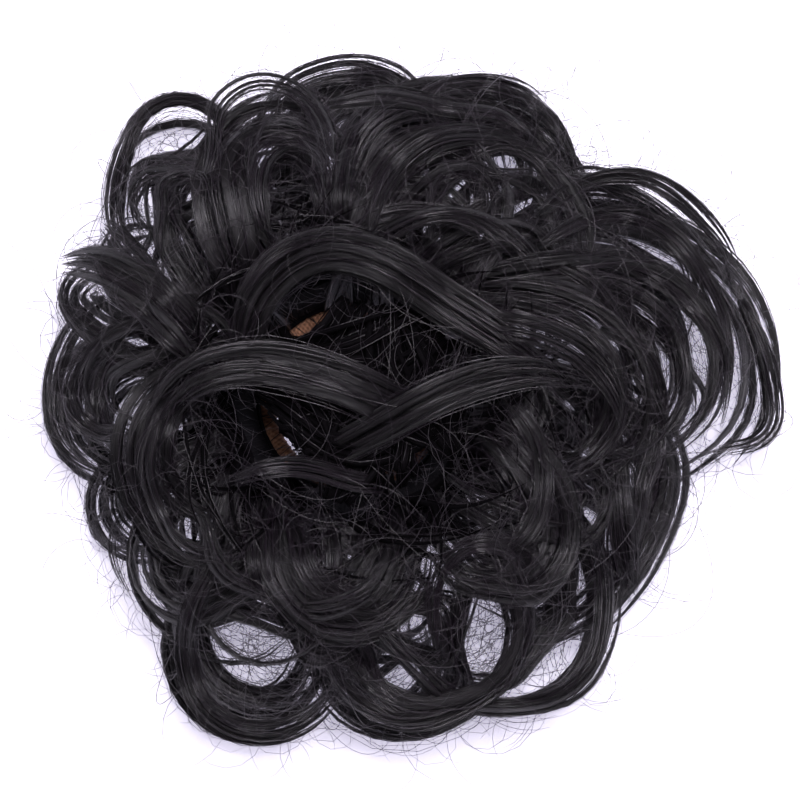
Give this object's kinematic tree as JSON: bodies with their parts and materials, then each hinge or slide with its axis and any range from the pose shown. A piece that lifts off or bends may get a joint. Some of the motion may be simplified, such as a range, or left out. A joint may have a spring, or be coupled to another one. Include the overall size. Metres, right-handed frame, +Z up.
{
  "type": "top knot hairpiece",
  "caption": "Round messy bun hairpiece: curled locks of dark hair sewn in rows round a covered elastic ring that goes over the wearer's own knot of hair.",
  "frame": {"origin": "on the surface that the piece lies on, at the middle of its width and length", "axes": "+Z up, out of the top of the curls; +X towards the side that reaches furthest from the ring; +Y towards the top of the picture"},
  "size_m": [0.1714, 0.1598, 0.054],
  "materials": {
    "elastic": "matt woven cover, brown",
    "hair": "silky synthetic hair, near black"
  },
  "bodies": {
    "root": {"elastic_ring": "elastic", "under_row": "hair", "side_row": "hair", "top_row": "hair"}
  },
  "joints": []
}
